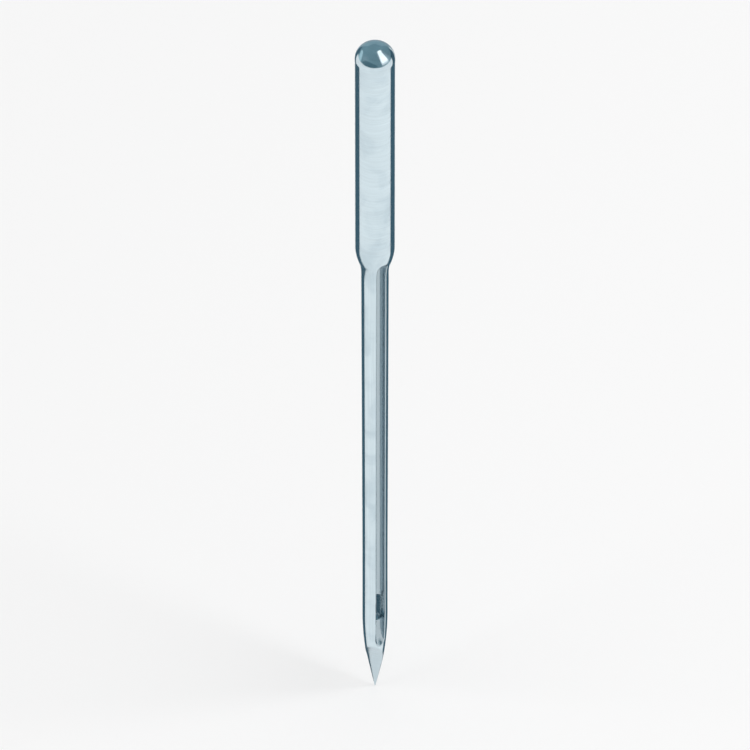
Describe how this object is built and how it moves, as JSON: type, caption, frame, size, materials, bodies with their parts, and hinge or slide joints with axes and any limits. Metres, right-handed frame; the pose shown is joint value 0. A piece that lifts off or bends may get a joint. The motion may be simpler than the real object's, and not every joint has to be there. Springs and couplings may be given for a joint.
{
  "type": "sewing machine needle",
  "caption": "Round-shank lockstitch machine needle with domed butt, long groove, eye, scarf, short groove and a lens-shaped cutting point for leather.",
  "frame": {"origin": "centre of the small flat on top of the butt, where the needle stops in the needle bar", "axes": "+Z along the needle towards the butt, so the tip points down at z = -46 mm; the long groove faces -Y and the scarf faces +Y; the line of the seam is along X"},
  "size_m": [0.002, 0.002, 0.046],
  "materials": {
    "plated_steel": "hardened steel, polished and plated bright"
  },
  "bodies": {
    "root": {"needle": "plated_steel"}
  },
  "joints": []
}
